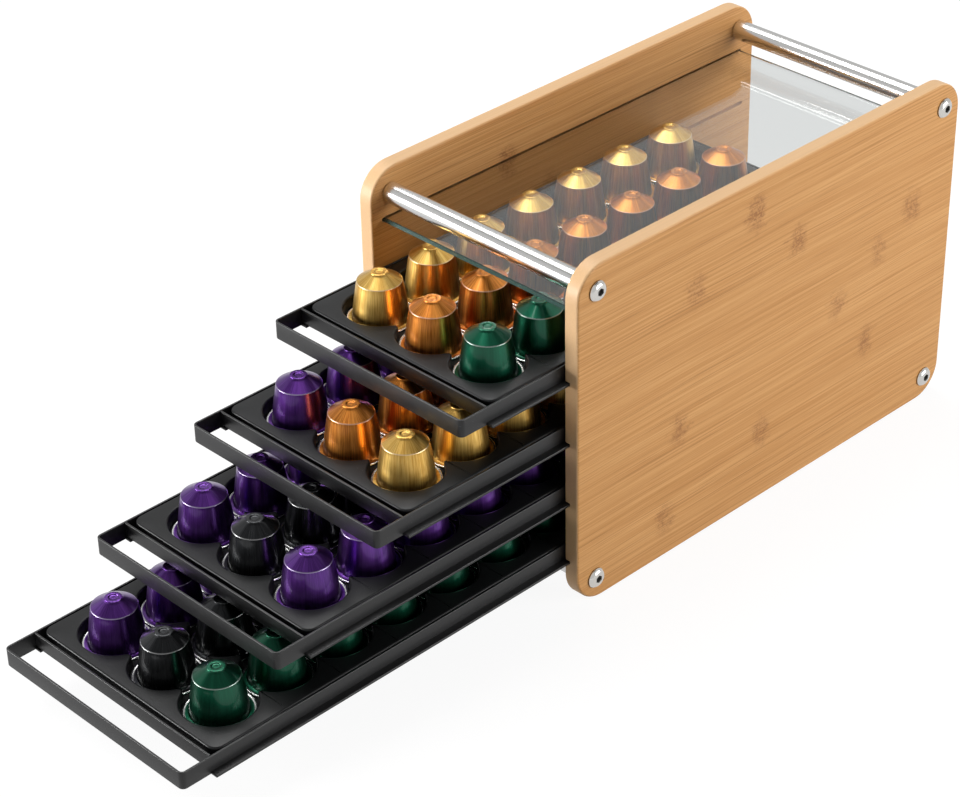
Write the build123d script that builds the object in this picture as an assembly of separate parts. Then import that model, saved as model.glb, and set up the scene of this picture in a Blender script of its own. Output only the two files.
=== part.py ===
"""Coffee pod drawer: two bamboo side panels held apart by four steel rods, a glass
shelf on top, and four pull-out trays of coffee capsules that slide in grooves.

Millimetres, +Z up, +Y to the back, +X to the right. The origin is on the table, in
the middle of the box that the whole object fills with its drawers pulled out as at
rest. The drawers count from the top: drawer 1 is the highest.
"""
from build123d import *
import os

os.makedirs("parts", exist_ok=True)

# ---------------------------------------------------------------- driving sizes
# capsule
flange_radius = 18.5
flange_thickness = 0.7
rim_width = 0.6
rim_height = 1.3
foot_radius = 15.2           # body, where it meets the flange
shoulder_radius = 12.1
shoulder_height = 23.4
shoulder_rounding = 0.9
cone_height = 4.1
nub_radius = 4.7
nub_height = 0.9
dimple_radius = 2.6
dimple_depth = 0.6
capsule_wall = 0.7
foil_thickness = 0.5
foil_play = 0.1              # between the foil's edge and the flange's rim

# tray
columns = 3
rows = 7
column_gap = 3.2             # between the flanges of neighbouring columns
row_gap = 0.6                # between the flanges within a column
pocket_play = 1.3            # between a flange and its pocket's wall
pocket_depth = 7.0
notch_width = 12.4           # passages between neighbouring pockets
tray_wall = 1.2
tray_end_margin = 6.7
tray_side_margin = 8.6
tray_corner_radius = 6.0
tray_edge_rounding = 1.0
tray_foot = 0.7              # the skirt reaches this far below the pockets' floors
tray_play = 0.5

# drawer frame
strip_thickness = 1.2
strip_height = 10.2
frame_corner_radius = 3.0
finger_gap = 16.9
tray_front_gap = 2.6         # between the cross bar and the tray
rail_thickness = 1.5
rail_ledge = 4.2             # inside the side strip, under the tray
rail_lead = 0.6              # the rail starts this far ahead of the cross bar
rail_rear_inset = 4.4        # the rail ends this far short of the frame's rear
rail_corner_rounding = 0.8

# carcass
drawer_count = 4
panel_thickness = 9.5
panel_corner_radius = 19.0
panel_edge_rounding = 1.4
frame_side_gap = 0.7         # between a frame and a panel
drawer_rear_room = 6.8       # behind a closed drawer
pod_head_room = 5.2          # above a capsule, to the next drawer
shelf_head_room = 4.3        # above the top drawer's capsules, to the glass
groove_depth = 4.0
rail_end_play = 0.4          # between a rail and the bottom of its groove
rail_play_below = 0.2
rail_play_above = 0.6
glass_thickness = 3.0
glass_play = 0.2
glass_inset = 8.8            # from the panels' front edges
glass_rear_inset = 11.0      # end of its groove, from the panels' rear edges
glass_corner_radius = 1.5
glass_edge_chamfer = 0.4
groove_rear_inset = 8.0      # end of a drawer's groove, from the panels' rear edges
rod_radius = 5.9
rod_chamfer = 0.5
rod_inset = 14.0             # rods' axes, from the panels' front and rear edges
bottom_rod_height = 13.5
drawer_over_rod = 6.8        # between the bottom rods and the lowest drawer
rod_over_glass = 7.6
panel_over_rod = 15.2        # rod's axis to the panel's top edge

# bolts
thread_radius = 3.0
thread_play = 0.05
bolt_hole_play = 0.3
thread_in_rod = 12.0
tap_end_room = 3.0           # past the end of the thread
bolt_head_radius = 5.8
bolt_head_height = 2.6
bolt_head_rim = 0.8
socket_across_flats = 4.0
socket_depth = 1.8

# how far each drawer is pulled out at rest, from the top one down
pulled_out = (72.0, 130.5, 197.5, 259.5)

# ---------------------------------------------------------------- derived sizes
capsule_height = shoulder_height + cone_height + nub_height
column_pitch = 2 * flange_radius + column_gap
row_pitch = 2 * flange_radius + row_gap
pocket_radius = flange_radius + pocket_play
tray_width = (columns - 1) * column_pitch + 2 * (pocket_radius + tray_side_margin)
tray_length = (rows - 1) * row_pitch + 2 * (pocket_radius + tray_end_margin)
frame_width = tray_width + 2 * (tray_play + strip_thickness)
bar_front = strip_thickness + finger_gap
tray_front = bar_front + strip_thickness + tray_front_gap
frame_length = tray_front + tray_length + tray_play + strip_thickness
floor_top = rail_thickness + tray_foot + tray_wall
tray_height = floor_top + pocket_depth - rail_thickness
first_row = tray_front + tray_end_margin + pocket_radius

inner_width = frame_width + 2 * frame_side_gap
panel_depth = frame_length + drawer_rear_room
drawer_pitch = floor_top + capsule_height + pod_head_room
floor_to_drawer = bottom_rod_height + rod_radius + drawer_over_rod
top_drawer_floor = floor_to_drawer + (drawer_count - 1) * drawer_pitch
glass_bottom = top_drawer_floor + floor_top + capsule_height + shelf_head_room
top_rod_height = glass_bottom + glass_thickness + rod_over_glass + rod_radius
panel_height = top_rod_height + panel_over_rod
glass_width = inner_width + 2 * (groove_depth - rail_end_play)
glass_end_room = (glass_thickness + glass_play) / 2     # clear of the groove's round ends
glass_length = panel_depth - glass_inset - glass_rear_inset - glass_end_room
rail_length = frame_length - rail_rear_inset - (bar_front - rail_lead)
rail_outer = inner_width / 2 + groove_depth - rail_end_play
rail_inner = frame_width / 2 - strip_thickness - rail_ledge
tapped_depth = thread_in_rod + tap_end_room

# the panels' front edges lie here, so that the whole object is centred on the origin
front_edge = (max(pulled_out) - panel_depth) / 2


def drawer_base(number):
    """Corner of drawer `number`, counted from 1 at the top: its front and its underside."""
    front = front_edge - pulled_out[(number - 1) % len(pulled_out)]
    return Vector(0, front, top_drawer_floor - (number - 1) * drawer_pitch)


def block(low, high):
    """Box between two opposite corners."""
    size = [b - a for a, b in zip(low, high)]
    return Pos(*low) * Box(*size, align=(Align.MIN, Align.MIN, Align.MIN))


def rod_axes():
    """Depth and height of the four rods' axes, each with its name."""
    front = front_edge + rod_inset
    rear = front_edge + panel_depth - rod_inset
    return {
        "top_front": (front, top_rod_height),
        "top_rear": (rear, top_rod_height),
        "bottom_front": (front, bottom_rod_height),
        "bottom_rear": (rear, bottom_rod_height),
    }


def along_x(shape, x, y, z):
    """A shape built up its own Z axis, laid along +X from the point given."""
    return Pos(x, y, z) * Rot(0, 90, 0) * shape


# ---------------------------------------------------------------- carcass
def groove(x_face, start, end, low, high):
    """Router-cut groove in the right panel's inner face, with round ends.

    A start ahead of the panel's front edge leaves the groove open there.
    """
    radius = (high - low) / 2
    middle = (high + low) / 2
    depth = groove_depth + 1
    cutter = Cylinder(radius, depth, align=(Align.CENTER, Align.CENTER, Align.MIN))
    run = block((x_face - 1, start + radius, low), (x_face + groove_depth, end - radius, high))
    for y in (start + radius, end - radius):
        run += along_x(cutter, x_face - 1, y, middle)
    return run


def right_panel():
    """Rounded board with its bolt holes, its glass groove and its drawer grooves."""
    face = inner_width / 2
    outline = Rectangle(panel_depth, panel_height, align=(Align.MIN, Align.MIN))
    outline = fillet(outline.vertices(), panel_corner_radius)
    board = extrude(Plane.YZ * outline, panel_thickness)
    board = Pos(face, front_edge, 0) * board
    flat_sides = board.faces().filter_by(Axis.X)
    board = fillet(flat_sides.edges(), panel_edge_rounding)
    rear = front_edge + panel_depth - groove_rear_inset
    cuts = []
    for number in range(1, drawer_count + 1):
        base = drawer_base(number).Z
        cuts.append(groove(face, front_edge - 2 * panel_edge_rounding - rail_thickness, rear,
                           base - rail_play_below, base + rail_thickness + rail_play_above))
    rear = front_edge + panel_depth - glass_rear_inset
    cuts.append(groove(face, front_edge + glass_inset - glass_end_room, rear, glass_bottom,
                       glass_bottom + glass_thickness + glass_play))
    hole = Cylinder(thread_radius + bolt_hole_play, panel_thickness + 2,
                    align=(Align.CENTER, Align.CENTER, Align.MIN))
    cuts += [along_x(hole, face - 1, y, z) for y, z in rod_axes().values()]
    return board - cuts


def glass():
    """Clear sheet with ground edges, standing in the upper grooves."""
    sheet = Rectangle(glass_width, glass_length, align=(Align.CENTER, Align.MIN))
    sheet = fillet(sheet.vertices(), glass_corner_radius)
    sheet = extrude(sheet, glass_thickness)
    rims = sheet.faces().filter_by(Axis.Z).edges()
    sheet = chamfer(rims, glass_edge_chamfer)
    return Pos(0, front_edge + glass_inset, glass_bottom) * sheet


def rod(y, z):
    """Round rod from panel to panel, tapped at both ends."""
    bar = Cylinder(rod_radius, inner_width)
    bar = chamfer(bar.edges(), rod_chamfer)
    tap = Cylinder(thread_radius, tapped_depth, align=(Align.CENTER, Align.CENTER, Align.MAX))
    bar -= Pos(0, 0, inner_width / 2) * tap
    bar -= Pos(0, 0, -inner_width / 2) * Rot(180, 0, 0) * tap
    return along_x(bar, 0, y, z)


def bolt():
    """Button-head bolt up its own Z axis: the head's underside is at height 0."""
    dome = bolt_head_radius * 0.45
    with BuildSketch(Plane.XZ) as half:
        with BuildLine():
            Polyline((0, 0), (bolt_head_radius, 0), (bolt_head_radius, bolt_head_rim))
            ThreePointArc((bolt_head_radius, bolt_head_rim),
                          (bolt_head_radius * 0.84, bolt_head_height * 0.72),
                          (dome, bolt_head_height))
            Polyline((dome, bolt_head_height), (0, bolt_head_height), (0, 0))
        make_face()
    head = revolve(half.sketch, Axis.Z)
    key = RegularPolygon(socket_across_flats / 2, 6, major_radius=False)
    head -= Pos(0, 0, bolt_head_height - socket_depth) * extrude(key, socket_depth + 1)
    shank = Cylinder(thread_radius - thread_play, panel_thickness + thread_in_rod,
                     align=(Align.CENTER, Align.CENTER, Align.MAX))
    return head + shank


def bolts(side):
    """The four bolts of one panel: side is 1 for the right and -1 for the left."""
    x = side * (inner_width / 2 + panel_thickness)
    turn = Rot(0, side * 90, 0)
    return Compound([Pos(x, y, z) * turn * bolt() for y, z in rod_axes().values()])


# ---------------------------------------------------------------- drawer, with its
# front face at depth 0 and its frame's underside at height 0
def frame():
    """Flat strip bent into a loop and notched over the two rails."""
    outer = Rectangle(frame_width, frame_length, align=(Align.CENTER, Align.MIN))
    outer = fillet(outer.vertices(), frame_corner_radius)
    loop = outer - offset(outer, -strip_thickness)
    loop = extrude(loop, strip_height)
    start = bar_front - rail_lead
    for side in (-1, 1):
        middle = side * (frame_width - strip_thickness) / 2
        notch = block((middle - strip_thickness, start, -1),
                      (middle + strip_thickness, start + rail_length, rail_thickness))
        loop -= notch
    return loop


def cross_bar():
    """Strip on edge behind the finger gap, standing on the rails' ledges."""
    half = frame_width / 2 - strip_thickness
    return block((-half, bar_front, rail_thickness),
                 (half, bar_front + strip_thickness, strip_height))


def rail(side):
    """Flat bar under a side strip: ledge inside, runner outside."""
    start = bar_front - rail_lead
    bar = Rectangle(rail_outer - rail_inner, rail_length, align=(Align.MIN, Align.MIN))
    bar = Pos(rail_inner, start) * bar
    outer_corners = bar.vertices().sort_by(Axis.X)[-2:]
    bar = extrude(fillet(outer_corners, rail_corner_rounding), rail_thickness)
    return bar if side > 0 else mirror(bar, Plane.YZ)


def pocket_centres():
    """Middle of each pocket, column by column from the left, front row first."""
    first_column = -(columns - 1) * column_pitch / 2
    return [[(first_column + column * column_pitch, first_row + row * row_pitch)
             for row in range(rows)] for column in range(columns)]


def pocket_plan(wall):
    """Plan of all pockets and of the notches between them, each grown by a wall."""
    centres = [centre for column in pocket_centres() for centre in column]
    plan = Sketch() + [Pos(x, y) * Circle(pocket_radius + wall) for x, y in centres]
    width = notch_width + 2 * wall
    left, right = centres[0][0], centres[-1][0]
    front, rear = centres[0][1], centres[-1][1]
    for row in range(rows):
        plan += Pos(0, front + row * row_pitch) * Rectangle(right - left, width)
    for column in range(columns):
        plan += Pos(left + column * column_pitch, (front + rear) / 2) * Rectangle(width, rear - front)
    return plan


def tray():
    """Thin formed tray: a rounded block with pockets above and hollow below."""
    outline = Rectangle(tray_width, tray_length, align=(Align.CENTER, Align.MIN))
    outline = Pos(0, tray_front) * fillet(outline.vertices(), tray_corner_radius)
    body = extrude(outline, tray_height)
    top_rim = body.faces().sort_by(Axis.Z)[-1].edges()
    body = Pos(0, 0, rail_thickness) * fillet(top_rim, tray_edge_rounding)
    body -= Pos(0, 0, floor_top) * extrude(pocket_plan(0), pocket_depth + 1)
    hollow = extrude(offset(outline, -tray_wall), tray_height - tray_wall)
    hollow = Pos(0, 0, rail_thickness) * hollow
    cups = Pos(0, 0, floor_top - tray_wall) * extrude(pocket_plan(tray_wall), tray_height)
    return body - (hollow - cups)


def capsule():
    """Aluminium cup standing flange down: flange with a rim, tapered body, cone and nub."""
    rim_inner = flange_radius - rim_width
    flange_top = foil_thickness + flange_thickness
    cone_top = shoulder_height + cone_height
    nub_foot = nub_radius + 0.3
    inner_foot = foot_radius - capsule_wall
    inner_shoulder = shoulder_radius - capsule_wall
    inner_cone_top = cone_top - capsule_wall
    with BuildSketch(Plane.XZ) as half:
        with BuildLine():
            Polyline(
                (0, cone_top + nub_height - dimple_depth),
                (dimple_radius * 0.8, cone_top + nub_height - dimple_depth),
                (dimple_radius, cone_top + nub_height),
                (nub_radius - 0.4, cone_top + nub_height),
                (nub_radius, cone_top + nub_height - 0.4),
                (nub_foot, cone_top),
                (shoulder_radius, shoulder_height),
                (foot_radius, flange_top),
                (rim_inner, flange_top),
                (rim_inner, rim_height),
                (flange_radius, rim_height),
                (flange_radius, 0),
                (rim_inner, 0),
                (rim_inner, foil_thickness),
                (inner_foot, foil_thickness),
                (inner_shoulder, shoulder_height - capsule_wall / 3),
                (nub_foot - capsule_wall, inner_cone_top),
                (0, inner_cone_top),
                close=True,
            )
        face = make_face()
        shoulder = face.vertices().sort_by_distance(Vertex(shoulder_radius, 0, shoulder_height))[0]
        fillet(shoulder, shoulder_rounding)
    return revolve(half.sketch, Axis.Z)


def foil():
    """Foil lid inside the flange's rim."""
    return Cylinder(flange_radius - rim_width - foil_play, foil_thickness,
                    align=(Align.CENTER, Align.CENTER, Align.MIN))


# ---------------------------------------------------------------- write the nodes
def write(shape, node):
    """One file per node."""
    export_step(shape, "parts/" + node + ".step")


right = right_panel()
write(right, "right_side_panel")
write(mirror(right, Plane.YZ), "left_side_panel")
write(glass(), "glass_shelf")
for place, (depth, height) in rod_axes().items():
    write(rod(depth, height), place + "_rod")
write(bolts(1), "right_panel_bolts")
write(bolts(-1), "left_panel_bolts")

one_capsule = capsule()
one_foil = foil()
pods = {}
for column_name, centres in zip(("left", "middle", "right"), pocket_centres()):
    pods[column_name + "_pods"] = Compound([Pos(x, y, floor_top) * one_capsule for x, y in centres])
all_centres = [centre for column in pocket_centres() for centre in column]
drawer = {
    "frame": frame(),
    "cross_bar": cross_bar(),
    "left_rail": rail(-1),
    "right_rail": rail(1),
    "tray": tray(),
    **pods,
    "pod_foils": Compound([Pos(x, y, floor_top) * one_foil for x, y in all_centres]),
}
for number in range(1, drawer_count + 1):
    place = Pos(drawer_base(number))
    for piece, shape in drawer.items():
        write(place * shape, "drawer_%d_%s" % (number, piece))
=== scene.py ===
"""Looks of a coffee pod drawer: bamboo panels, steel rods, a glass shelf and four trays of capsules.

Metres, +Z up, +X to the right, +Y to the back. Places and sizes that the frame holds are read
from it, and the rest are named below. Each surface is an array of rings of points, worked out
with numpy; each finish is written with the small shader classes.
"""
import math

import bmesh
import bpy
import numpy as np
from mathutils import Euler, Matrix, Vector


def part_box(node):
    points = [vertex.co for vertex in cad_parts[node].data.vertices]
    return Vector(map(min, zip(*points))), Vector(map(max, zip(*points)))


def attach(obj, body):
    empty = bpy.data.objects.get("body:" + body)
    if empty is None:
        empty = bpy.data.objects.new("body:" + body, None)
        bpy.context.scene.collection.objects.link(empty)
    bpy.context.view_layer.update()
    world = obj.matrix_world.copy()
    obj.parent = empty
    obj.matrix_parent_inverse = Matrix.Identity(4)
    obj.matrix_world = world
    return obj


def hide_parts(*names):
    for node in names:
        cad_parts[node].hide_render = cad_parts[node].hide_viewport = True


MM = 0.001

# ---------------------------------------------------------------- sizes
COLUMNS = ("left", "middle", "right")
ROWS = 7
SEAM = 0.002 * MM                # points closer than this are merged
SHARP_ANGLE = 38                 # degrees past which an edge is shaded as sharp

POCKET_RADIUS = 19.8 * MM
NOTCH_WIDTH = 12.4 * MM          # passage between neighbouring pockets
TRAY_WALL = 1.2 * MM
TRAY_CORNER = 6.0 * MM
TRAY_EDGE = 1.4 * MM             # rounding of the tray's outer rim
POCKET_RIM = 1.1 * MM            # rounding of a pocket's rim
POCKET_FOOT = 0.8 * MM           # rounding at a pocket's floor
POCKET_DRAFT = 0.3 * MM
POCKET_STEP = 2.5                # degrees between points on a pocket's wall
TOP_MARGIN = 0.25 * MM           # flat ring kept on the top round a pocket's rim
TIP_SOFTENING = 2.4 * MM         # how far the points between pockets are rounded
PATH_STEP = 1.0 * MM

STRIP_EDGE = 0.3 * MM            # rounding along the steel strips
FRAME_CORNER = 3.0 * MM
RAIL_EDGE = 0.35 * MM

BODY_FOOT = 15.2 * MM            # capsule, where its body meets the flange
BODY_BULGE = 0.22 * MM
SHOULDER_RADIUS = 12.1 * MM
SHOULDER_HEIGHT = 23.4 * MM
SHOULDER_ROUNDING = 0.5 * MM
CONE_TOP = 27.75 * MM
NUB_RADIUS = 4.7 * MM
NUB_TOP = 28.4 * MM
NUB_ROUNDING = 0.45 * MM
DIMPLE_RADIUS = 2.5 * MM
DIMPLE_DEPTH = 0.6 * MM
RIM_BEAD = 0.6 * MM              # radius of the curled edge
FLANGE_TOP = 1.15 * MM
FOIL_TOP = 0.52 * MM
FLANGE_RADIUS = 18.5 * MM
AROUND = 88                      # points round a capsule
BRUSH_ROUND = 26                 # brushing: the noise's cells round a capsule, as a radius,
BRUSH_ALONG = 60                 # along its outline, in each metre,
BRUSH_NEXT = 7.3                 # and from one capsule to the next
OUT_OF_ROUND = (0.0016, 0.0009)  # two and three waves round a capsule, as shares of its radius
SEED = 7                         # of the capsules' turns and waves

BOLT_HEAD_RADIUS = 5.8 * MM
BOLT_HEAD_HEIGHT = 2.6 * MM
BOLT_SOCKET_SHADE = (2.7 * MM, 2.2 * MM)       # from the axis, where the painted shade in the hex socket starts and is full

STRIP_WIDTH = 21.0 * MM          # one glued bamboo strip
KNUCKLE_LENGTH = 12 * MM         # a bamboo knuckle's reach along the grain
KNUCKLE_WIDTH = 18 * MM          # and across it
# the knuckles' depth and height on the panels, and how strong they are
KNUCKLES = ((0.1115, 0.1857, 0.75), (0.1458, 0.1555, 0.60), (0.2473, 0.1368, 0.55), (0.2184, 0.1196, 0.45),
            (0.1849, 0.0982, 0.50), (0.0652, 0.1586, 0.50), (0.2117, 0.0635, 0.55), (0.0542, 0.0768, 0.50),
            (0.1211, 0.0451, 0.55), (0.0435, 0.0236, 0.50))

# ---------------------------------------------------------------- camera
CAMERA_PLACE = (0.89383, -0.87397, 0.87822)
CAMERA_AZIMUTH = 46.173
CAMERA_ELEVATION = 32.358
CAMERA_ROLL = -1.221
CAMERA_LENS = 103.069
SENSOR_WIDTH = 36.0


# ---------------------------------------------------------------- shader classes
class Value:
    """A number that varies over a surface. Its operators add Math nodes."""

    def __init__(self, finish, socket):
        self.finish = finish
        self.socket = socket

    def __add__(self, other):
        return self.finish.math("ADD", self, other)

    def __radd__(self, other):
        return self.finish.math("ADD", other, self)

    def __sub__(self, other):
        return self.finish.math("SUBTRACT", self, other)

    def __rsub__(self, other):
        return self.finish.math("SUBTRACT", other, self)

    def __mul__(self, other):
        return self.finish.math("MULTIPLY", self, other)

    def __rmul__(self, other):
        return self.finish.math("MULTIPLY", other, self)

    def __truediv__(self, other):
        return self.finish.math("DIVIDE", self, other)

    def __rtruediv__(self, other):
        return self.finish.math("DIVIDE", other, self)

    def __pow__(self, other):
        return self.finish.math("POWER", self, other)

    def floor(self):
        return self.finish.math("FLOOR", self)

    def size(self):
        return self.finish.math("ABSOLUTE", self)

    def at_least(self, other):
        return self.finish.math("MAXIMUM", self, other)

    def above(self, low, high):
        """0 at low, 1 at high and a smooth step between; low may be the larger one."""
        node = self.finish.node("ShaderNodeMapRange", {"interpolation_type": "SMOOTHSTEP", "clamp": True},
                                {"Value": self, "From Min": low, "From Max": high})
        return Value(self.finish, node.outputs["Result"])

    def near(self, middle, reach):
        """1 at the middle, and 0 from `reach` away on."""
        return 1 - (self - middle).size().above(0, reach)


class Finish:
    """A node tree being written: a material, or the world's."""

    def __init__(self, tree):
        self.tree = tree
        tree.nodes.clear()

    def put(self, socket, value):
        """A link or a value for one socket."""
        value = getattr(value, "socket", value)
        if isinstance(value, bpy.types.NodeSocket):
            self.tree.links.new(value, socket)
        else:
            socket.default_value = value

    def node(self, kind, settings, inputs):
        """A node of any type, with its settings and then the values or links of its sockets."""
        node = self.tree.nodes.new(kind)
        for name, setting in settings.items():
            setattr(node, name, setting)
        for name, value in inputs.items():
            self.put(node.inputs[name], value)
        return node

    def math(self, operation, *values):
        node = self.node("ShaderNodeMath", {"operation": operation}, dict(enumerate(values)))
        return Value(self, node.outputs[0])

    def place(self, kind="Object"):
        """Object coordinates, or the surface's own direction, as a vector and as three values."""
        vector = self.node("ShaderNodeTexCoord", {}, {}).outputs[kind]
        parts = self.node("ShaderNodeSeparateXYZ", {}, {0: vector}).outputs
        return vector, [Value(self, part) for part in parts]

    def vector(self, x, y, z):
        return self.node("ShaderNodeCombineXYZ", {}, {0: x, 1: y, 2: z}).outputs[0]

    def attribute(self, name, output="Fac"):
        return Value(self, self.node("ShaderNodeAttribute", {"attribute_name": name}, {}).outputs[output])

    def noise(self, vector, scale, detail=2.0, roughness=0.5, distortion=0.0):
        """Smooth noise about 0.5."""
        node = self.node("ShaderNodeTexNoise", {}, {"Vector": vector, "Scale": scale, "Detail": detail,
                                                    "Roughness": roughness, "Distortion": distortion})
        return Value(self, node.outputs["Fac"])

    def blend(self, factor, first, second):
        """Two colours mixed by a factor."""
        node = self.node("ShaderNodeMix", {"data_type": "RGBA"}, {0: factor, 6: first, 7: second})
        return node.outputs[2]

    def bump(self, height, distance, strength):
        """A normal from a height between 0 and 1 that stands for `distance`."""
        node = self.node("ShaderNodeBump", {}, {"Height": height, "Distance": distance, "Strength": strength})
        return node.outputs["Normal"]

    def surface(self, **inputs):
        """Principled surface; names are written with underscores."""
        sockets = {name.replace("_", " "): value for name, value in inputs.items()}
        shader = self.node("ShaderNodeBsdfPrincipled", {}, sockets)
        self.node("ShaderNodeOutputMaterial", {}, {"Surface": shader.outputs[0]})


def material(name):
    """A new material's node tree, ready to be written, and the material."""
    made = bpy.data.materials.new(name)
    made.use_nodes = True
    return Finish(made.node_tree), made


def rgb(red, green, blue):
    return (red, green, blue, 1.0)


# ---------------------------------------------------------------- finishes
def bamboo():
    """Lacquered bamboo: fine fibres along Y, glued strips of changing tone, and soft brown knuckles.

    A knuckle is a short patch of darker streaks across a strip. The edges, which cut across the
    strips, are paler: partly their own grain and partly a painted highlight of the light on them.
    On the left panel the pattern is shifted, so that the two panels differ.
    """
    finish, made = material("bamboo")
    vector, (x, y, z) = finish.place()
    left = 1 - x.above(-1 * MM, 1 * MM)
    wave = finish.noise(finish.vector(x * 10, y * 12, z * 10), 1.0, 1.0) - 0.5
    height = z + wave * (1.4 * MM) + left * (9 * MM)
    fibre = finish.noise(finish.vector(x * 900, y * 5, height * 900), 1.0, 4.0, 0.8)
    line = finish.noise(finish.vector(x * 1500, y * 8, height * 1500), 1.0, 3.0, 0.75)
    broad = finish.noise(finish.vector(x * 30, y * 4, height * 95), 1.0, 2.0, 0.5)
    strip = (height / STRIP_WIDTH).floor() + left * 17
    tone_node = finish.node("ShaderNodeTexWhiteNoise", {"noise_dimensions": "1D"}, {"W": strip})
    tone = Value(finish, tone_node.outputs["Value"])
    ragged = finish.noise(finish.vector(x * 60, y * 110, height * 230), 1.0, 3.0, 0.7) - 0.5
    along = y + left * (34 * MM) + ragged * (26 * MM)
    across = z + left * (12 * MM) - ragged * (16 * MM)
    knuckle = 0
    for depth, up, weight in KNUCKLES:
        patch = along.near(depth, KNUCKLE_LENGTH) * across.near(up, KNUCKLE_WIDTH)
        knuckle = patch * weight + knuckle
    curl = finish.noise(vector, 420.0, 3.0, 0.6, 1.2)
    knuckle = knuckle.above(0.02, 0.62) * ((curl * 0.6 + line * 0.4).above(0.42, 0.60) * 0.62 + 0.20)
    colour = finish.blend(fibre.above(0.36, 0.64), rgb(0.575, 0.272, 0.080), rgb(0.725, 0.385, 0.142))
    colour = finish.blend(line.above(0.54, 0.66) * 0.62, colour, rgb(0.33, 0.135, 0.032))
    colour = finish.blend(line.above(0.46, 0.36) * 0.42, colour, rgb(0.84, 0.50, 0.215))
    colour = finish.blend(broad.above(0.35, 0.72) * 0.22, colour, rgb(0.55, 0.25, 0.07))
    colour = finish.blend(tone * 0.20, colour, rgb(0.56, 0.265, 0.08))
    colour = finish.blend(knuckle, colour, rgb(0.30, 0.115, 0.032))
    _, (sideways, _, _) = finish.place("Normal")
    # paler edges: partly their own grain, partly a painted highlight of the light falling on them
    edge = 1 - sideways.size().above(0.45, 0.9)
    colour = finish.blend(edge * 0.72, colour, rgb(0.93, 0.63, 0.36))
    finish.surface(Base_Color=colour, Roughness=0.40 + fibre * 0.12, Specular_IOR_Level=0.32,
                   Coat_Weight=0.06, Coat_Roughness=0.2,
                   Normal=finish.bump(fibre * 0.6 + line * 0.4 - knuckle * 0.2, 0.10 * MM, 0.5))
    return made


def clear_glass():
    """Float glass, green in its depth, with ground edges that scatter a little."""
    finish, made = material("clear_glass")
    clear = finish.node("ShaderNodeBsdfPrincipled", {}, {
        "Base Color": rgb(0.94, 0.952, 0.948), "Roughness": 0.0, "IOR": 1.5, "Transmission Weight": 1.0})
    ground = finish.node("ShaderNodeBsdfPrincipled", {}, {
        "Base Color": rgb(0.10, 0.20, 0.175), "Roughness": 0.35})
    _, (_, _, upward) = finish.place("Normal")
    edge = (1 - upward.size().above(0.4, 0.95)) * 0.55
    mixed = finish.node("ShaderNodeMixShader", {}, {0: edge, 1: clear.outputs[0], 2: ground.outputs[0]})
    depth = finish.node("ShaderNodeVolumeAbsorption", {}, {"Color": rgb(0.0, 0.62, 0.5), "Density": 5.0})
    finish.node("ShaderNodeOutputMaterial", {}, {"Surface": mixed.outputs[0], "Volume": depth.outputs[0]})
    return made


def stainless():
    """Polished stainless rod with the faintest drawn lines."""
    finish, made = material("stainless")
    _, (x, y, z) = finish.place()
    drawn = finish.noise(finish.vector(x * 12, y * 900, z * 900), 1.0, 2.0)
    finish.surface(Base_Color=rgb(0.74, 0.735, 0.72), Metallic=1.0, Roughness=0.15 + drawn * 0.10,
                   Normal=finish.bump(drawn, 0.01 * MM, 0.3))
    return made


def chrome():
    """Bright bolt with handling marks, with painted shade in its hex socket and a painted shadow at the foot
    of its head.

    The distance from a bolt's axis is the length of (y, z) folded about the panel's middle, less
    half the bolts' spacing.
    """
    finish, made = material("chrome")
    vector, (x, y, z) = finish.place()
    low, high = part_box("right_panel_bolts")
    off_y = (y - (high.y + low.y) / 2).size() - ((high.y - low.y) / 2 - BOLT_HEAD_RADIUS)
    off_z = (z - (high.z + low.z) / 2).size() - ((high.z - low.z) / 2 - BOLT_HEAD_RADIUS)
    from_axis = (off_y * off_y + off_z * off_z) ** 0.5
    out = x.size()
    # painted shade in the hex socket, which is also made rougher
    socket = from_axis.above(*BOLT_SOCKET_SHADE) * out.above(high.x - 0.5 * MM, high.x - 1.0 * MM)
    # painted shadow in a ring at the foot of the head
    foot = out.above(high.x - BOLT_HEAD_HEIGHT + 0.9 * MM, high.x - BOLT_HEAD_HEIGHT + 0.2 * MM)
    marks = finish.noise(vector, 600.0, 3.0)
    # near black: painted shade in the socket, painted shadow at the head's foot
    colour = finish.blend(socket * 0.85, rgb(0.80, 0.785, 0.75), rgb(0.05, 0.05, 0.05))
    colour = finish.blend(foot * 0.8, colour, rgb(0.06, 0.05, 0.04))
    finish.surface(Base_Color=colour, Metallic=1.0, Roughness=0.08 + marks * 0.12 + socket * 0.3)
    return made


def powder_coat():
    """Satin black powder coat with a fine orange peel and a few dust specks."""
    finish, made = material("powder_coat")
    vector, _ = finish.place()
    peel = finish.noise(vector, 1500.0, 2.0)
    cloud = finish.noise(vector, 60.0, 2.0)
    dust = finish.noise(vector, 900.0, 0.0).above(0.80, 0.84)
    colour = finish.blend(dust * 0.3, rgb(0.015, 0.015, 0.0155), rgb(0.10, 0.10, 0.10))
    finish.surface(Base_Color=colour, Roughness=0.32 + cloud * 0.12, Specular_IOR_Level=0.48,
                   Normal=finish.bump(peel, 0.03 * MM, 0.35))
    return made


def tray_plastic():
    """Formed black sheet with a satin face."""
    finish, made = material("tray_plastic")
    vector, _ = finish.place()
    grain = finish.noise(vector, 2200.0, 2.0)
    cloud = finish.noise(vector, 45.0, 2.0)
    dust = finish.noise(vector, 1100.0, 0.0).above(0.81, 0.85)
    colour = finish.blend(dust * 0.3, rgb(0.009, 0.0095, 0.010), rgb(0.10, 0.10, 0.11))
    finish.surface(Base_Color=colour, Roughness=0.28 + cloud * 0.10, Specular_IOR_Level=0.30,
                   Normal=finish.bump(grain, 0.02 * MM, 0.3))
    return made


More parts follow.
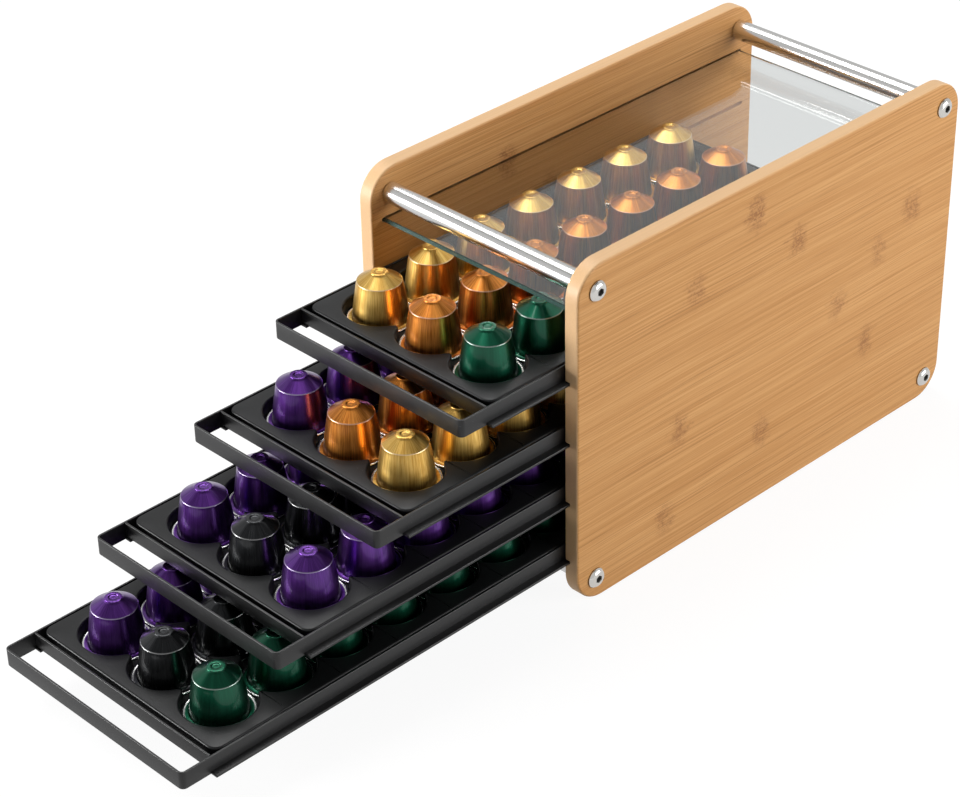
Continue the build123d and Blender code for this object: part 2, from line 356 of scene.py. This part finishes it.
def anodised(name, colour, brushing_and_painted_shade, gloss, coat, brushing):
    """Anodised capsule: brushing with partly painted dark bands, a painted shoulder highlight and a bare
    curled edge.
    """
    finish, made = material(name)
    brush = finish.attribute("brush", "Vector").socket
    streak = finish.noise(brush, 1.0, 3.0, 0.65)
    broad = finish.noise(brush, 0.13, 1.0)
    vector, _ = finish.place()
    dents = finish.noise(vector, 90.0, 1.0)
    bare, ridge = finish.attribute("bare"), finish.attribute("ridge")
    # streaks and broad bands towards the darker colour: partly the brushing's own tone, partly painted shade
    # for dark reflections
    tint = finish.blend(streak.above(0.62, 0.40) * brushing + broad.above(0.62, 0.42) * 0.35, colour, brushing_and_painted_shade)
    # painted highlight along the shoulder: the colour mixed towards white
    tint = finish.blend(ridge * 0.55, tint, rgb(*(0.45 + 0.55 * part for part in colour[:3])))
    tint = finish.blend(bare, tint, rgb(0.88, 0.88, 0.87))
    finish.surface(Base_Color=tint, Metallic=1.0, Roughness=gloss + streak * 0.14 - bare * 0.12,
                   Coat_Weight=coat * (1 - bare), Coat_Roughness=0.08,
                   Normal=finish.bump(streak * brushing + dents * 0.5, 0.09 * MM, 0.35))
    return made


def foil():
    """Bright foil lid."""
    finish, made = material("foil")
    vector, _ = finish.place()
    crinkle = finish.noise(vector, 260.0, 3.0)
    finish.surface(Base_Color=rgb(0.82, 0.82, 0.82), Metallic=1.0, Roughness=0.25,
                   Normal=finish.bump(crinkle, 0.15 * MM, 0.4))
    return made


# ---------------------------------------------------------------- meshes
class Surface:
    """The points and faces of one piece, gathered from grids of rings."""

    def __init__(self):
        self.points = []
        self.faces = []
        self.fields = {}
        self.count = 0

    def add(self, rings, caps=False, **fields):
        """Quads between neighbouring rings, each ring closed on itself; caps closes both ends."""
        number, around = rings.shape[:2]
        index = np.arange(number * around).reshape(number, around) + self.count
        beside = np.roll(index, -1, axis=1)
        quads = np.stack([index[:-1], beside[:-1], beside[1:], index[1:]], axis=-1)
        self.faces += quads.reshape(-1, 4).tolist()
        if caps:
            self.faces += [index[0][::-1].tolist(), index[-1].tolist()]
        self.points.append(rings.reshape(-1, 3))
        for name, values in fields.items():
            self.fields.setdefault(name, []).append(values.reshape(number * around, -1))
        self.count += number * around

    def add_flat(self, outlines, height):
        """The flat area between closed outlines: the first less the others."""
        curve = bpy.data.curves.new("outline", "CURVE")
        curve.dimensions = "2D"
        curve.fill_mode = "BOTH"
        for outline in outlines:
            spline = curve.splines.new("POLY")
            spline.points.add(len(outline) - 1)
            ends = np.zeros((len(outline), 1))
            spline.points.foreach_set("co", np.hstack([outline, ends, ends + 1]).ravel())
            spline.use_cyclic_u = True
        holder = bpy.data.objects.new("outline", curve)
        filled = bpy.data.meshes.new_from_object(holder)
        flat = np.array([vertex.co for vertex in filled.vertices])
        flat[:, 2] = height
        self.faces += [[self.count + i for i in polygon.vertices] for polygon in filled.polygons]
        self.points.append(flat)
        self.count += len(flat)
        bpy.data.objects.remove(holder)
        bpy.data.curves.remove(curve)
        bpy.data.meshes.remove(filled)

    def piece(self, name, finish, body, node):
        """Makes the object: seams and poles merged, faces outwards, in a node's place on its body."""
        mesh = bpy.data.meshes.new(name)
        mesh.from_pydata(np.vstack(self.points).tolist(), [], self.faces)
        for field, values in self.fields.items():
            values = np.vstack(values)
            kind = "FLOAT_VECTOR" if values.shape[1] == 3 else "FLOAT"
            attribute = mesh.attributes.new(field, kind, "POINT")
            attribute.data.foreach_set("vector" if kind == "FLOAT_VECTOR" else "value",
                                       values.astype(np.float32).ravel())
        shape = bmesh.new()
        shape.from_mesh(mesh)
        bmesh.ops.remove_doubles(shape, verts=shape.verts, dist=SEAM)
        bmesh.ops.dissolve_degenerate(shape, edges=shape.edges, dist=SEAM / 2)
        bmesh.ops.recalc_face_normals(shape, faces=shape.faces)
        shape.to_mesh(mesh)
        shape.free()
        mesh.shade_smooth()
        mesh.set_sharp_from_angle(angle=math.radians(SHARP_ANGLE))
        mesh.materials.append(finish)
        made = bpy.data.objects.new(name, mesh)
        bpy.context.scene.collection.objects.link(made)
        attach(made, body)
        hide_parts(node)


def arc(centre, radius, start, end, count):
    """Points (across, up) on an arc between two angles in degrees."""
    angles = np.radians(np.linspace(start, end, count))
    return np.stack([centre[0] + radius * np.cos(angles), centre[1] + radius * np.sin(angles)], axis=1)


def capsule_profile():
    """Half outline of a capsule from the middle of its underside to the middle of its top.

    A flat underside, the curled edge as a bead, the flange, a body that tapers with a slight
    bulge, a rounded shoulder, a straight cone, and a nub with a dimple. With it, which of its
    points are bare metal and which get the painted highlight along the shoulder.
    """
    bead = (FLANGE_RADIUS - RIM_BEAD, RIM_BEAD + 0.03 * MM)
    share = np.linspace(0, 1, 12)
    cone_slope = math.atan2(CONE_TOP - SHOULDER_HEIGHT, SHOULDER_RADIUS - NUB_RADIUS)
    body_top = SHOULDER_HEIGHT - SHOULDER_ROUNDING
    body = np.stack([BODY_FOOT + (SHOULDER_RADIUS + 0.1 * MM - BODY_FOOT) * share
                     + BODY_BULGE * np.sin(math.pi * share),
                     FLANGE_TOP + 0.5 * MM + (body_top - FLANGE_TOP - 0.5 * MM) * share], axis=1)
    shoulder = arc((SHOULDER_RADIUS + 0.1 * MM - SHOULDER_ROUNDING, body_top), SHOULDER_ROUNDING,
                   6, 90 - math.degrees(cone_slope), 6)
    nub_foot = np.array([[NUB_RADIUS + 0.9 * MM, CONE_TOP - 0.42 * MM],
                         [NUB_RADIUS + 0.45 * MM, CONE_TOP - 0.10 * MM],
                         [NUB_RADIUS + 0.12 * MM, CONE_TOP + 0.22 * MM]])
    cone = shoulder[-1] + (nub_foot[0] - shoulder[-1]) * np.linspace(0.04, 0.96, 6)[:, None]
    nub = arc((NUB_RADIUS - NUB_ROUNDING, NUB_TOP - NUB_ROUNDING), NUB_ROUNDING, 0, 90, 5)
    lip = arc((DIMPLE_RADIUS + 0.3 * MM, NUB_TOP - 0.3 * MM), 0.3 * MM, 90, 170, 4)
    floor = NUB_TOP - DIMPLE_DEPTH
    bowl = np.array([[DIMPLE_RADIUS - 0.25 * MM, floor + 0.12 * MM], [DIMPLE_RADIUS - 0.7 * MM, floor],
                     [0.9 * MM, floor + 0.05 * MM], [0, floor + 0.1 * MM]])
    under = np.array([[0, FOIL_TOP], [bead[0] - 0.3 * MM, FOIL_TOP]])
    flange = np.array([[17.0 * MM, FLANGE_TOP - 0.12 * MM], [BODY_FOOT + 0.9 * MM, FLANGE_TOP],
                       [BODY_FOOT + 0.25 * MM, FLANGE_TOP + 0.15 * MM]])
    rim = arc(bead, RIM_BEAD, -115, 125, 11)
    parts = [under, rim, flange, body, shoulder, cone, nub_foot, nub, lip, bowl]
    bare = np.concatenate([np.full(len(part), float(part is rim or part is under)) for part in parts])
    ridge = np.concatenate([np.full(len(part), float(part is shoulder)) for part in parts])
    return np.vstack(parts), bare, ridge


def capsules(drawer, column, finish, chance):
    """One column of capsules, each turned by chance and pressed slightly out of round.

    A capsule is its half outline turned about its axis: (r cos a, r sin a, z), with the radius
    drawn in and out by two and three waves round, a few hundredths of a millimetre.
    """
    node = "drawer_%d_%s_pods" % (drawer, column)
    low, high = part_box(node)
    flange = (high.x - low.x) / 2
    pitch = (high.y - low.y - 2 * flange) / (ROWS - 1)
    outline, bare, ridge = capsule_profile()
    steps = np.hypot(*np.diff(outline, axis=0, prepend=outline[:1]).T)
    length = np.cumsum(steps)
    angle = np.linspace(0, 2 * math.pi, AROUND, endpoint=False)
    brush_round = np.stack([np.cos(angle), np.sin(angle)]) * BRUSH_ROUND
    made = Surface()
    for row in range(ROWS):
        turn, waves = chance.uniform(0, 2 * math.pi), chance.uniform(0, 2 * math.pi, 2)
        press = (1 + OUT_OF_ROUND[0] * np.cos(2 * angle + waves[0])
                 + OUT_OF_ROUND[1] * np.cos(3 * angle + waves[1]))
        radius = outline[:, :1] * press
        x = (low.x + high.x) / 2 + radius * np.cos(angle + turn)
        y = low.y + flange + row * pitch + radius * np.sin(angle + turn)
        z = low.z + np.repeat(outline[:, 1:], AROUND, axis=1)
        upright = length[:, None] * BRUSH_ALONG + row * BRUSH_NEXT + turn
        brush = np.stack(np.broadcast_arrays(*brush_round, upright), axis=-1)
        made.add(np.stack([x, y, z], axis=-1), brush=brush, bare=np.repeat(bare, AROUND),
                 ridge=np.repeat(ridge, AROUND))
    made.piece("drawer_%d_%s_capsules" % (drawer, column), finish, "drawer_%d" % drawer, node)


def rounded_block(low, high, radius):
    """A block with round edges: a ball whose eight octants are pushed apart to the corners."""
    half = (np.array(high) - np.array(low)) / 2 - radius
    middle = (np.array(high) + np.array(low)) / 2
    steps = 4
    quarter = np.linspace(0, 90, steps)
    latitude = np.radians(np.concatenate([quarter - 90, quarter]))
    up = np.repeat([-1, 1], steps)
    longitude = np.radians(np.concatenate([quarter + 90 * k for k in range(4)]))
    right = np.repeat([1, -1, -1, 1], steps)
    back = np.repeat([1, 1, -1, -1], steps)
    x = middle[0] + half[0] * right + radius * np.cos(latitude)[:, None] * np.cos(longitude)
    y = middle[1] + half[1] * back + radius * np.cos(latitude)[:, None] * np.sin(longitude)
    z = np.repeat((middle[2] + half[2] * up + radius * np.sin(latitude))[:, None], len(longitude), axis=1)
    return np.stack([x, y, z], axis=-1)


def steel_bar(node, body, finish):
    """A flat bar with its edges rounded, where the frame has it."""
    low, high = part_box(node)
    made = Surface()
    made.add(rounded_block(low, high, RAIL_EDGE), caps=True)
    made.piece(node + "_bar", finish, body, node)


def steel_frame(drawer, finish):
    """The bent strip: a rounded section carried round a rectangle with round corners.

    Each ring is the section's outline, across the strip and up. Over the rails the section's
    foot is cut off at the rail's top.
    """
    name = "drawer_%d_" % drawer
    low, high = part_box(name + "frame")
    bar_low, bar_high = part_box(name + "cross_bar")
    rail_low, rail_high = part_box(name + "right_rail")
    half = (bar_high.y - bar_low.y) / 2
    corner = FRAME_CORNER - half
    right, left, front, rear = high.x - half, low.x + half, low.y + half, high.y - half
    path, across, foot = [], [], []
    corners = [(right - corner, front + corner, -90), (right - corner, rear - corner, 0),
               (left + corner, rear - corner, 90), (left + corner, front + corner, 180)]
    for number, (x, y, start) in enumerate(corners):
        angles = np.radians(np.linspace(start, start + 90, 9))
        way = np.stack([np.cos(angles), np.sin(angles)], axis=1)
        path.append(np.array([x, y]) + corner * way)
        across.append(way)
        foot.append(np.zeros(len(way)))
        if number % 2 == 0:
            side = path[-1][-1][0]
            ends = (rail_low.y, rail_high.y) if number == 0 else (rail_high.y, rail_low.y)
            path.append(np.array([[side, ends[0]], [side, ends[0]], [side, ends[1]], [side, ends[1]]]))
            across.append(np.repeat(way[-1:], 4, axis=0))
            foot.append(np.array([0, 1, 1, 0]) * (rail_high.z - rail_low.z))
    path, across, foot = np.vstack(path), np.vstack(across), np.concatenate(foot)
    tall = high.z - low.z
    section = np.vstack([arc((half - STRIP_EDGE, STRIP_EDGE), STRIP_EDGE, -90, 0, 4),
                         arc((half - STRIP_EDGE, tall - STRIP_EDGE), STRIP_EDGE, 0, 90, 4),
                         arc((STRIP_EDGE - half, tall - STRIP_EDGE), STRIP_EDGE, 90, 180, 4),
                         arc((STRIP_EDGE - half, STRIP_EDGE), STRIP_EDGE, 180, 270, 4)])
    flat = path[:, None, :] + across[:, None, :] * section[None, :, :1]
    height = low.z + np.maximum(section[None, :, 1], foot[:, None])
    rings = np.concatenate([flat, height[..., None]], axis=-1)
    made = Surface()
    made.add(np.concatenate([rings, rings[:1]]))
    made.piece(name + "strip", finish, "drawer_%d" % drawer, name + "frame")


# ---------------------------------------------------------------- formed tray
def softened(path):
    """A closed path laid out in even steps, its points rounded by a running mean with a bell weight."""
    closed = np.vstack([path, path[:1]])
    length = np.concatenate([[0], np.cumsum(np.hypot(*np.diff(closed, axis=0).T))])
    count = int(round(length[-1] / PATH_STEP))
    even = np.linspace(0, length[-1], count, endpoint=False)
    points = np.stack([np.interp(even, length, closed[:, k]) for k in (0, 1)], axis=1)
    offset = (np.arange(count) + count // 2) % count - count // 2
    bell = np.exp(-0.5 * (offset * PATH_STEP / TIP_SOFTENING) ** 2)
    spread = np.fft.fft(bell / bell.sum())[:, None]
    return np.real(np.fft.ifft(np.fft.fft(points, axis=0) * spread, axis=0))


def side_of(path):
    """Unit vectors square to a closed path, to its left."""
    along = np.roll(path, -1, axis=0) - np.roll(path, 1, axis=0)
    along /= np.hypot(*along.T)[:, None]
    return np.stack([-along[:, 1], along[:, 0]], axis=1)


def pocket_arc(centre, start, end):
    """Points on a pocket's wall between two angles in degrees."""
    return arc(centre, POCKET_RADIUS, start, end, int(abs(end - start) / POCKET_STEP) + 2)


def pocket_border(columns, rows):
    """The line round all pockets: their outer arcs one after another, with the points between softened."""
    reach = math.degrees(math.acos(NOTCH_WIDTH / 2 / POCKET_RADIUS))
    last_column, last_row = len(columns) - 1, len(rows) - 1
    sides = [([(c, 0) for c in range(last_column)], -90),
             ([(last_column, r) for r in range(last_row)], 0),
             ([(c, last_row) for c in range(last_column, 0, -1)], 90),
             ([(0, r) for r in range(last_row, 0, -1)], 180)]
    parts = []
    for pockets, facing in sides:
        for number, (c, r) in enumerate(pockets):
            start = facing - reach - (90 if number == 0 else 0)
            parts.append(pocket_arc((columns[c], rows[r]), start, facing + reach))
    return softened(np.vstack(parts))


def island_border(left, right, front, rear):
    """The line round the island between four pockets, from the four arcs that face it."""
    end = math.degrees(math.acos(NOTCH_WIDTH / 2 / POCKET_RADIUS))
    start = 90 - end
    return softened(np.vstack([pocket_arc((left, front), end, start),
                               pocket_arc((right, front), 180 - start, 180 - end),
                               pocket_arc((right, rear), end - 180, start - 180),
                               pocket_arc((left, rear), -start, -end)]))


def tray_edge(path, columns, rows, low, high):
    """For each point of the pockets' border, its partner on the tray's rounded outline.

    Beside the pockets it lies straight out to the side; round a corner pocket it lies on the
    ray from the pocket's middle.
    """
    core = np.clip(path, [columns[0], rows[0]], [columns[-1], rows[-1]])
    along = (path[:, 1] > rows[0]) & (path[:, 1] < rows[-1])
    across = (path[:, 0] > columns[0]) & (path[:, 0] < columns[-1])
    middle = np.array([(low.x + high.x) / 2, (low.y + high.y) / 2])
    way = path - core
    way[along] = np.stack([np.sign(path[along, 0] - middle[0]), np.zeros(along.sum())], axis=1)
    front_rear = across & ((path[:, 1] <= rows[0]) | (path[:, 1] >= rows[-1]))
    way[front_rear] = np.stack([np.zeros(front_rear.sum()), np.sign(path[front_rear, 1] - middle[1])], axis=1)
    core[along, 0] = np.where(way[along, 0] > 0, columns[-1], columns[0])
    core[front_rear, 1] = np.where(way[front_rear, 1] > 0, rows[-1], rows[0])
    way /= np.hypot(*way.T)[:, None]
    room = np.array([high.x - columns[-1], high.y - rows[-1]])
    size = np.abs(way)
    reach = np.min(room / np.maximum(size, 1e-9), axis=1)
    turn = room - TRAY_CORNER
    straight = size @ turn
    rounded = straight + np.sqrt(np.maximum(straight ** 2 - turn @ turn + TRAY_CORNER ** 2, 0))
    in_corner = np.all(size * reach[:, None] > turn, axis=1)
    reach = np.where(in_corner, rounded, reach)
    return core + way * reach[:, None], way


def ring(points, height):
    """A flat closed path at one height."""
    return np.hstack([points, np.full((len(points), 1), height)])


def pocket_wall(path, side, top, floor):
    """Rings from the top face over the rounded rim and down the wall to the pocket's floor.

    `side` points from the wall's line into the material. The first ring, a little out on the
    top, keeps the shading of the top flat.
    """
    rings = [ring(path + side * (POCKET_RIM + TOP_MARGIN), top)]
    for angle in np.radians(np.linspace(0, 90, 5)):
        rings.append(ring(path + side * POCKET_RIM * (1 - math.sin(angle)),
                          top - POCKET_RIM * (1 - math.cos(angle))))
    for angle in np.radians(np.linspace(0, 90, 4)):
        inward = POCKET_DRAFT + POCKET_FOOT * (1 - math.cos(angle))
        rings.append(ring(path - side * inward, floor + POCKET_FOOT * (1 - math.sin(angle))))
    return rings


def formed_tray(drawer, finish):
    """The black tray: one thin sheet drawn down into pockets, with a skirt round it.

    Its profile runs from the underside of the pockets up behind their walls, out under the top,
    down and round the skirt, over the rounded outer edge, across the top and down into the
    pockets. It is carried round the pockets' border, and the part of it that is inside the
    border is carried round each island. Two flat sheets close the pockets' floors.
    """
    name = "drawer_%d_" % drawer
    low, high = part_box(name + "tray")
    boxes = [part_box(name + column + "_pods") for column in COLUMNS]
    columns = [(box[0].x + box[1].x) / 2 for box in boxes]
    flange = (boxes[0][1].x - boxes[0][0].x) / 2
    rows = np.linspace(boxes[0][0].y + flange, boxes[0][1].y - flange, ROWS)
    floor, under = boxes[0][0].z, boxes[0][0].z - TRAY_WALL
    border = pocket_border(columns, rows)
    into = -side_of(border)
    edge, out = tray_edge(border, columns, rows, low, high)
    skirt = edge - out * TRAY_WALL
    behind = border + into * TRAY_WALL
    profile = [ring(behind, under), ring(behind, high.z - TRAY_WALL), ring(skirt, high.z - TRAY_WALL),
               ring(skirt, low.z), ring(edge, low.z)]
    for angle in np.radians(np.linspace(0, 90, 5)):
        profile.append(ring(edge - out * TRAY_EDGE * (1 - math.cos(angle)),
                            high.z - TRAY_EDGE * (1 - math.sin(angle))))
    profile += pocket_wall(border, into, high.z, floor)
    made = Surface()
    made.add(np.stack(profile))
    tops, bottoms = [profile[-1][:, :2]], [profile[0][:, :2]]
    for left, right in zip(columns[:-1], columns[1:]):
        for front, rear in zip(rows[:-1], rows[1:]):
            island = island_border(left, right, front, rear)
            into = side_of(island)
            inner = island + into * TRAY_WALL
            centre = np.repeat([[(left + right) / 2, (front + rear) / 2]], len(island), axis=0)
            made.add(np.stack([ring(inner, under), ring(inner, high.z - TRAY_WALL),
                               ring(centre, high.z - TRAY_WALL)]))
            wall = pocket_wall(island, into, high.z, floor)
            made.add(np.stack([ring(centre, high.z)] + wall))
            tops.append(wall[-1][:, :2])
            bottoms.append(inner)
    made.add_flat(tops, floor)
    made.add_flat(bottoms, under)
    made.piece(name + "formed_tray", finish, "drawer_%d" % drawer, name + "tray")


# ---------------------------------------------------------------- studio
def studio_floor():
    """Pale floor: white to the camera and glass, light grey to metal, with the object's shadow kept."""
    bpy.ops.mesh.primitive_plane_add(size=8, location=(0, 0, -0.2 * MM))
    floor = bpy.context.object
    floor.name = "studio_floor"
    finish, made = material("studio_floor")
    path = finish.node("ShaderNodeLightPath", {}, {}).outputs
    glossy = Value(finish, path["Is Glossy Ray"])
    seen = Value(finish, path["Is Camera Ray"]).at_least(glossy).at_least(path["Is Transmission Ray"])
    glow = finish.node("ShaderNodeEmission", {}, {"Color": rgb(1, 1, 1), "Strength": 0.91 - glossy * 0.29})
    shadow = finish.node("ShaderNodeBsdfDiffuse", {}, {"Color": rgb(0.15, 0.15, 0.15)})
    paint = finish.node("ShaderNodeBsdfDiffuse", {}, {"Color": rgb(0.55, 0.55, 0.55)})
    both = finish.node("ShaderNodeAddShader", {}, {0: glow.outputs[0], 1: shadow.outputs[0]})
    mixed = finish.node("ShaderNodeMixShader", {}, {0: seen, 1: paint.outputs[0], 2: both.outputs[0]})
    finish.node("ShaderNodeOutputMaterial", {}, {"Surface": mixed.outputs[0]})
    floor.data.materials.append(made)


def studio_world():
    """White where the camera or glass sees it, and a faint even light on the object.

    Metal sees a paler backdrop up to half way to the zenith and a dim ceiling over it.
    """
    world = bpy.data.worlds.new("studio")
    world.use_nodes = True
    bpy.context.scene.world = world
    finish = Finish(world.node_tree)
    path = finish.node("ShaderNodeLightPath", {}, {}).outputs
    sky = finish.node("ShaderNodeTexCoord", {}, {}).outputs["Generated"]
    height = Value(finish, finish.node("ShaderNodeSeparateXYZ", {}, {0: sky}).outputs[2])
    seen = Value(finish, path["Is Camera Ray"]).at_least(path["Is Transmission Ray"])
    glossy = Value(finish, path["Is Glossy Ray"])
    backdrop = 1 - height.above(0.73, 0.77) * 0.82
    level = seen + (1 - seen) * (glossy * backdrop * 0.6 + (1 - glossy) * 0.14)
    shader = finish.node("ShaderNodeBackground", {}, {"Color": rgb(1, 1, 1), "Strength": level})
    finish.node("ShaderNodeOutputWorld", {}, {"Surface": shader.outputs[0]})


def lamp(name, place, aim, size, power):
    """A soft rectangular lamp at a place, turned towards a point."""
    light = bpy.data.lights.new(name, "AREA")
    light.shape = "RECTANGLE"
    light.size, light.size_y = size
    light.energy = power
    holder = bpy.data.objects.new(name, light)
    holder.location = place
    holder.rotation_euler = (Vector(aim) - Vector(place)).to_track_quat("-Z", "Y").to_euler()
    bpy.context.scene.collection.objects.link(holder)


def camera():
    """The photograph's viewpoint."""
    view = bpy.data.cameras.new("camera")
    view.lens = CAMERA_LENS
    view.sensor_width = SENSOR_WIDTH
    view.clip_start, view.clip_end = 0.01, 50
    holder = bpy.data.objects.new("camera", view)
    holder.location = CAMERA_PLACE
    turn = Euler((math.radians(90 - CAMERA_ELEVATION), 0, math.radians(CAMERA_AZIMUTH))).to_matrix()
    roll = Euler((0, 0, math.radians(CAMERA_ROLL))).to_matrix()
    holder.rotation_euler = (turn @ roll).to_euler()
    bpy.context.scene.collection.objects.link(holder)
    bpy.context.scene.camera = holder


# ---------------------------------------------------------------- the object
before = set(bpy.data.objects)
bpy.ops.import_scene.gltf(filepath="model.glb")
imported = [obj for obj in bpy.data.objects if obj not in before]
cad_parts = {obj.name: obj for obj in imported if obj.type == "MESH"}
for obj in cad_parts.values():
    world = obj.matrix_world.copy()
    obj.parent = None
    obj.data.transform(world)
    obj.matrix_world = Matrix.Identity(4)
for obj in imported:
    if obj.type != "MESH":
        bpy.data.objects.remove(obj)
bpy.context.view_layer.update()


def dress(finish, *nodes):
    """A finish for nodes that keep their own shape."""
    for node in nodes:
        for material_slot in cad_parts[node].material_slots:
            material_slot.material = finish


dress(bamboo(), "right_side_panel", "left_side_panel")
dress(clear_glass(), "glass_shelf")
dress(stainless(), "top_front_rod", "top_rear_rod", "bottom_front_rod", "bottom_rear_rod")
dress(chrome(), "right_panel_bolts", "left_panel_bolts")

coat, plastic, lid = powder_coat(), tray_plastic(), foil()
# each finish: colour; darker streak colour, partly brushing tone and partly painted shade; gloss, coat,
# brushing
colours = {
    "gold": anodised("gold", rgb(0.94, 0.64, 0.19), rgb(0.60, 0.31, 0.055), 0.26, 0.2, 0.60),
    "copper": anodised("copper", rgb(0.84, 0.33, 0.065), rgb(0.40, 0.115, 0.016), 0.26, 0.2, 0.55),
    "green": anodised("green", rgb(0.011, 0.115, 0.062), rgb(0.004, 0.06, 0.031), 0.25, 0.5, 0.20),
    "purple": anodised("purple", rgb(0.165, 0.05, 0.34), rgb(0.035, 0.008, 0.10), 0.24, 0.5, 0.25),
    "black": anodised("black", rgb(0.045, 0.047, 0.050), rgb(0.010, 0.011, 0.012), 0.22, 0.5, 0.20),
}
# the capsules' colours by column, from the top drawer down
contents = [("gold", "copper", "green"), ("purple", "copper", "gold"),
            ("purple", "black", "purple"), ("purple", "black", "green")]
chance = np.random.default_rng(SEED)
for number, row_colours in enumerate(contents, 1):
    body = "drawer_%d" % number
    steel_frame(number, coat)
    for bar in ("cross_bar", "left_rail", "right_rail"):
        steel_bar("%s_%s" % (body, bar), body, coat)
    formed_tray(number, plastic)
    dress(lid, body + "_pod_foils")
    for column, colour in zip(COLUMNS, row_colours):
        capsules(number, column, colours[colour], chance)

studio_floor()
studio_world()
lamp("overhead", (-0.55, 0.25, 1.65), (0, 0, 0), (1.1, 1.1), 20)
lamp("front_left", (-1.0, -1.3, 0.28), (0, -0.1, 0.1), (0.9, 0.5), 29)
lamp("right_rear", (1.45, 0.75, 0.45), (0, 0.1, 0.1), (1.1, 0.7), 19)
camera()

bpy.context.scene.view_settings.view_transform = "Standard"
